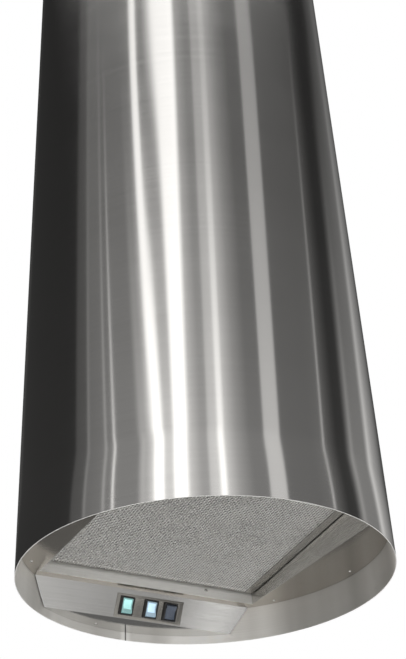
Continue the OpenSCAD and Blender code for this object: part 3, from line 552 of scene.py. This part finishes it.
def new_object(name, bm):
    """An object made from a bmesh, linked to the scene."""
    mesh = bpy.data.meshes.new(name)
    bm.to_mesh(mesh)
    bm.free()
    obj = bpy.data.objects.new(name, mesh)
    bpy.context.scene.collection.objects.link(obj)
    return obj


def smooth_by_angle(obj, degrees=28.0):
    """Smooth shading, with edges sharper than the angle kept hard."""
    mesh = obj.data
    mesh.polygons.foreach_set("use_smooth", [True] * len(mesh.polygons))
    mesh.set_sharp_from_angle(angle=math.radians(degrees))
    mesh.update()


def put(obj, mat, body, slot, *nodes):
    """Gives a piece its material and body, and hides the CAD nodes that it stands for; slot is not
    used.
    """
    if not obj.data.materials:
        obj.data.materials.append(mat)
    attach(obj, body)
    if nodes:
        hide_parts(*nodes)
    return obj


def refine(name, node, mats, bevel=0.0003, segments=2):
    """A copy of a CAD node with merged vertices, softened edges and smooth curved faces."""
    source = NODES[node]
    bm = bmesh.new()
    bm.from_mesh(source.data)
    bmesh.ops.remove_doubles(bm, verts=bm.verts, dist=2e-6)
    bmesh.ops.dissolve_degenerate(bm, edges=bm.edges, dist=1e-6)
    bmesh.ops.recalc_face_normals(bm, faces=bm.faces)
    if bevel:
        limit = math.radians(SHARP_EDGE_DEGREES)
        sharp = [e for e in bm.edges if len(e.link_faces) == 2 and e.calc_face_angle(0) > limit]
        bmesh.ops.bevel(bm, geom=sharp, offset=bevel, segments=segments, profile=0.5,
                        affect="EDGES", clamp_overlap=True)
    obj = new_object(name, bm)
    smooth_by_angle(obj)
    return put(obj, mats[SLOTS[node]], source["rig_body"], SLOTS[node], node)


# ---------------------------------------------------------------- pieces

def tube_angles():
    """Angles round the tube, with extra ones at the weld seam on the +Y side."""
    even = [math.radians(i * 0.75) for i in range(480)]
    half = SEAM_HALF / TUBE_INNER_R
    seam = [math.pi / 2 + s * half for s in (-3.0, -2.2, -1.0, -0.6, 0.6, 1.0, 2.2, 3.0)]
    clear = [a for a in even if abs(a - math.pi / 2) > 4.0 * half]
    return sorted(clear + seam)


def seam_depth(angle):
    """How far the inner wall is set back at this angle, for the seam's groove."""
    half = SEAM_HALF / TUBE_INNER_R
    off = abs(angle - math.pi / 2)
    return SEAM_DEPTH if off < half * 0.8 else 0.0


def build_tube(mats):
    """The outer tube: a rolled and welded sheet with softened rim edges and its seam inside."""
    soft = 0.0003
    outer = [(TUBE_R - soft, 0.0), (TUBE_R - soft * 0.3, soft * 0.3), (TUBE_R, soft)]
    outer += [(TUBE_R, TUBE_H * i / 12) for i in range(1, 12)]
    outer += [(TUBE_R, TUBE_H - soft), (TUBE_R - soft, TUBE_H)]
    inner = [(TUBE_INNER_R + soft, TUBE_H), (TUBE_INNER_R, TUBE_H - soft)]
    inner += [(TUBE_INNER_R, TUBE_H * i / 12) for i in range(11, 0, -1)]
    inner += [(TUBE_INNER_R, soft), (TUBE_INNER_R + soft, 0.0)]
    profile = outer + inner
    bm = bmesh.new()
    rings = []
    for angle in tube_angles():
        ring = []
        for i, (r, z) in enumerate(profile):
            extra = seam_depth(angle) if i >= len(outer) else 0.0
            at = (math.cos(angle) * (r + extra), math.sin(angle) * (r + extra), z)
            ring.append(bm.verts.new(at))
        rings.append(ring)
    count = len(profile)
    for a, b in zip(rings, rings[1:] + rings[:1]):
        for i in range(count):
            j = (i + 1) % count
            face = bm.faces.new((a[i], b[i], b[j], a[j]))
            face.material_index = 1 if len(outer) <= i < count - 1 else 0
            # The rim's bottom and outer corner take the pale cut_edge steel, partly a painted
            # highlight.
            if i in (0, 1, count - 1):
                face.material_index = 2
    bmesh.ops.recalc_face_normals(bm, faces=bm.faces)
    tube = new_object("tube_shell", bm)
    tube.data.materials.append(mats["tube_steel"])
    tube.data.materials.append(mats["tube_inside"])
    tube.data.materials.append(mats["cut_edge"])
    smooth_by_angle(tube, 40)
    put(tube, mats["tube_steel"], "hood", "tube_steel", "outer_tube")


def filter_frame_matrix():
    """The slanted plane that the filter cassette lies in."""
    return Matrix.Translation(FILTER_ORIGIN) @ Matrix.Rotation(FILTER_TILT, 4, "X")


def wave_wires(length, across, z, count_along, phase):
    """Parallel wavy wires: each point's place along its wire, across the sheet, and its height."""
    steps = count_along * 2
    t = np.linspace(length[0], length[1], steps + 1)
    wires = np.arange(across[0], across[1] + 1e-9, MESH_PITCH)
    along = np.repeat(t[None, :], len(wires), 0)
    side = np.repeat(wires[:, None], len(t), 1)
    number = np.arange(len(wires))[:, None]
    wave = np.cos(math.pi / 2 * (np.arange(steps + 1)[None, :] + number * 2 + phase))
    return along, side, z + MESH_WIRE * 0.4 * wave


def tubes_mesh(name, paths):
    """One mesh of square-section wires along the given arrays of points."""
    verts, faces, start = [], [], 0
    for points, side_vec in paths:
        wires, steps, _ = points.shape
        up = np.array((0.0, 0.0, 1.0))
        r = MESH_WIRE / 2
        around = [side_vec * r, up * r, -side_vec * r, -up * r]
        block = np.stack([points + a for a in around], axis=2)
        verts.append(block.reshape(-1, 3))
        index = np.arange(wires * steps * 4).reshape(wires, steps, 4) + start
        for k in range(4):
            m = (k + 1) % 4
            quad = np.stack([index[:, :-1, k], index[:, 1:, k], index[:, 1:, m], index[:, :-1, m]], -1)
            faces.append(quad.reshape(-1, 4))
        ends = np.concatenate([index[:, 0, ::-1], index[:, -1, :]])
        faces.append(ends)
        start += wires * steps * 4
    mesh = bpy.data.meshes.new(name)
    all_verts, all_faces = np.concatenate(verts), np.concatenate(faces)
    mesh.vertices.add(len(all_verts))
    mesh.vertices.foreach_set("co", all_verts.astype(np.float32).ravel())
    mesh.loops.add(all_faces.size)
    mesh.loops.foreach_set("vertex_index", all_faces.ravel().astype(np.int32))
    mesh.polygons.add(len(all_faces))
    mesh.polygons.foreach_set("loop_start", np.arange(0, all_faces.size, 4, dtype=np.int32))
    mesh.update(calc_edges=True)
    mesh.validate()
    mesh.polygons.foreach_set("use_smooth", [True] * len(mesh.polygons))
    obj = bpy.data.objects.new(name, mesh)
    bpy.context.scene.collection.objects.link(obj)
    return obj


def build_weave(name, node, mats, height):
    """Plain woven wire mesh in the filter's own plane, in place of a CAD sheet."""
    across_y = round((WEAVE_Y[1] - WEAVE_Y[0]) / MESH_PITCH)
    across_x = round((WEAVE_X[1] - WEAVE_X[0]) / MESH_PITCH)
    along, side, rise = wave_wires(WEAVE_X, WEAVE_Y, height, across_x, 0)
    one = np.stack([along, side, rise], -1)
    along, side, rise = wave_wires(WEAVE_Y, WEAVE_X, height, across_y, 2)
    two = np.stack([side, along, rise], -1)
    obj = tubes_mesh(name, [(one, np.array((0.0, 1.0, 0.0))), (two, np.array((1.0, 0.0, 0.0)))])
    obj.matrix_world = filter_frame_matrix()
    return put(obj, mats["mesh_aluminium"], "filter", "mesh_aluminium", node)


def build_pieces(mats):
    """The visual pieces that stand for CAD nodes; thin sheets stay as the CAD nodes themselves."""
    build_tube(mats)
    build_weave("weave_lower", "filter_mesh_lower", mats, WEAVE_LOWER_Z)
    for node in ("switch_housing_light", "switch_housing_fan", "switch_housing_speed"):
        refine(node + "_moulding", node, mats, bevel=0.0005, segments=3)
    for side in ("light", "fan", "speed"):
        refine(f"rocker_{side}_cap", f"rocker_{side}", mats, bevel=0.0005, segments=3)
    refine("filter_frame_channel", "filter_frame", mats, bevel=0.0003)
    refine("pull_ring_wire", "pull_ring", mats, bevel=0.0)
    refine("switch_plate_sheet", "switch_plate", mats, bevel=0.00025)
    refine("lamp_bezels_ring", "lamp_bezels", mats, bevel=0.0003)
    for node in ("rivets", "lamp_lenses", "exhaust_duct", "impeller", "scroll_wrap",
                 "motor_body", "outlet_spigot", "inlet_rings"):
        refine(node + "_smooth", node, mats, bevel=0.0)


make_camera()
make_world()
make_floor()
bpy.context.scene.view_settings.view_transform = "Standard"
materials = make_materials()
finish_nodes(materials)
build_pieces(materials)
